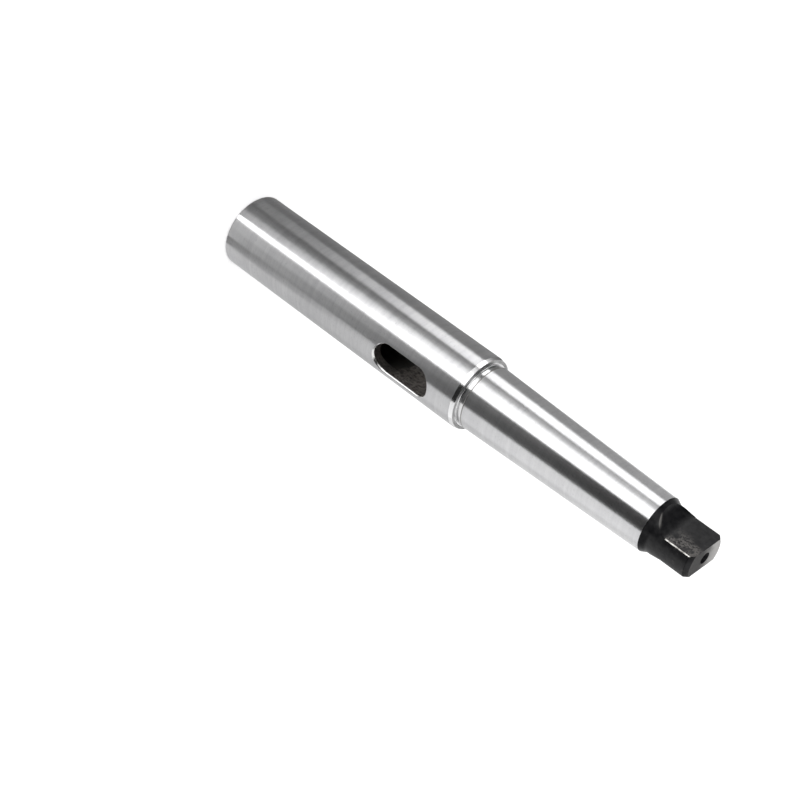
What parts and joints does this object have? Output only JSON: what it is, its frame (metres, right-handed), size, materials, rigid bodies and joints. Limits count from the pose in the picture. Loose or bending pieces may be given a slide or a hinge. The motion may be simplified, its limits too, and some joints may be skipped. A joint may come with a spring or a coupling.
{
  "type": "morse taper sleeve",
  "caption": "Extended taper sleeve in one piece: cylindrical body with a taper socket and a drift slot, shoulder, ground taper shank and flat black tang.",
  "frame": {"origin": "centre of the socket's mouth face, which the sleeve stands on", "axes": "+Z along the sleeve's axis from the mouth to the tang, +X along the drift slot, +Y square to the tang's flats"},
  "size_m": [0.0362, 0.0362, 0.271],
  "materials": {
    "ground_steel": "cylindrically ground and bright on the body and the shank, left black from heat treatment on the tang"
  },
  "bodies": {
    "root": {"sleeve": "ground_steel"}
  },
  "joints": []
}
